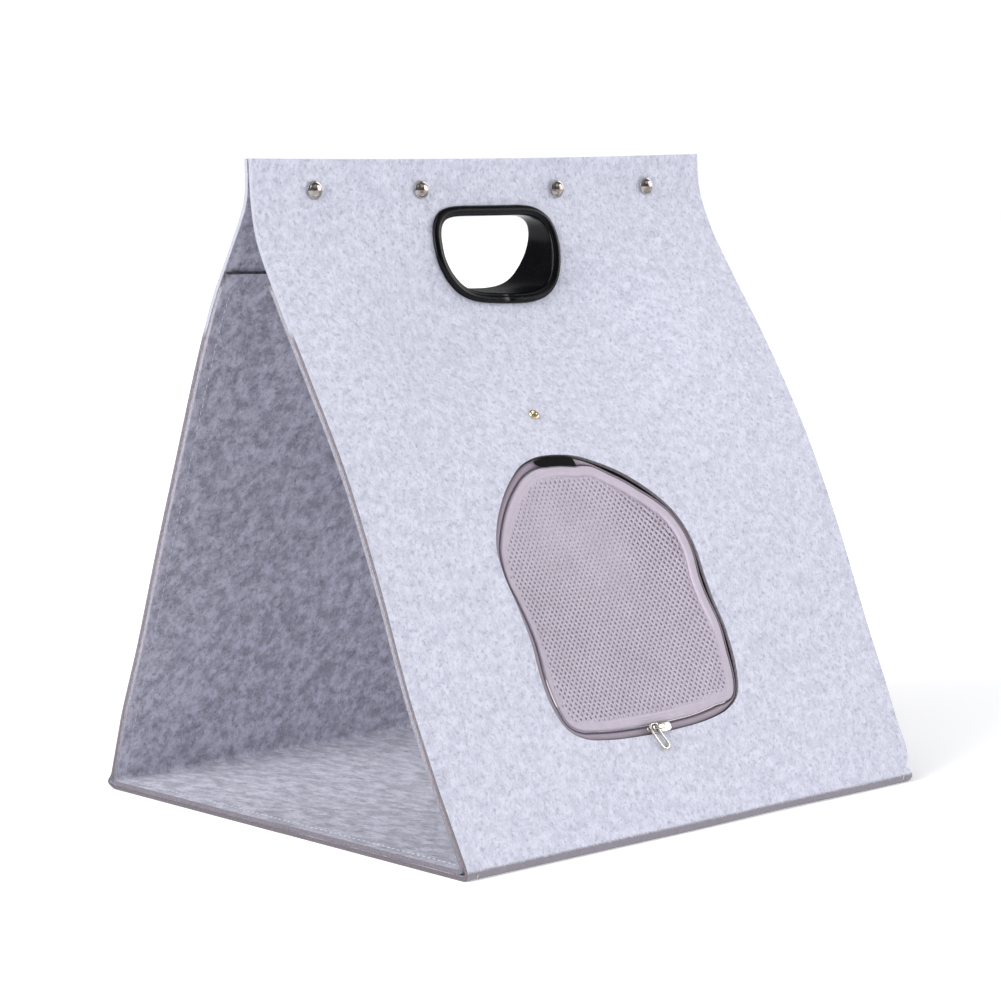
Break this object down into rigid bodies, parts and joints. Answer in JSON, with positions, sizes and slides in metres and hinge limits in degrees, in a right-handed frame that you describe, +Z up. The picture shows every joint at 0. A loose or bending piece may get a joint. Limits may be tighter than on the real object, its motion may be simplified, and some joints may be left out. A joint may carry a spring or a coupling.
{
  "type": "foldable pet tent",
  "caption": "Foldable A-frame pet tent in doubled felt, open at both ends, with a zipped mesh door in a wall, a moulded hand grip and rivets along the ridge.",
  "frame": {"origin": "middle of the footprint, on the surface that the tent stands on", "axes": "+Z up, X along the ridge, the wall with the door and the hand grip's front faces -Y"},
  "size_m": [0.4047, 0.396, 0.4384],
  "materials": {
    "felt": "matte needled felt, light lavender grey with darker flecks",
    "felt_inner": "matte needled felt, a shade darker",
    "grip_black": "gloss, black moulding",
    "rivet_metal": "polished",
    "stud_metal": "polished, pale gold",
    "black_tape": "matte woven tape",
    "zip_tape": "matte, mauve, with a close weave",
    "mesh_mauve": "air mesh, mauve grey",
    "binding_mauve": "plain, lightly padded mauve cloth",
    "slider_metal": "satin, warm"
  },
  "bodies": {
    "root": {"outer_felt": "felt", "inner_felt": "felt_inner", "hand_grip": "grip_black", "ridge_rivet_1": "rivet_metal", "ridge_rivet_2": "rivet_metal", "ridge_rivet_3": "rivet_metal", "ridge_rivet_4": "rivet_metal", "door_stud": "stud_metal", "door_backing": "black_tape", "door_zip": "zip_tape", "mesh_binding": "binding_mauve", "mesh_door": "mesh_mauve", "door_tab": "black_tape", "zip_slider": "slider_metal", "zip_pull": "slider_metal"}
  },
  "joints": []
}
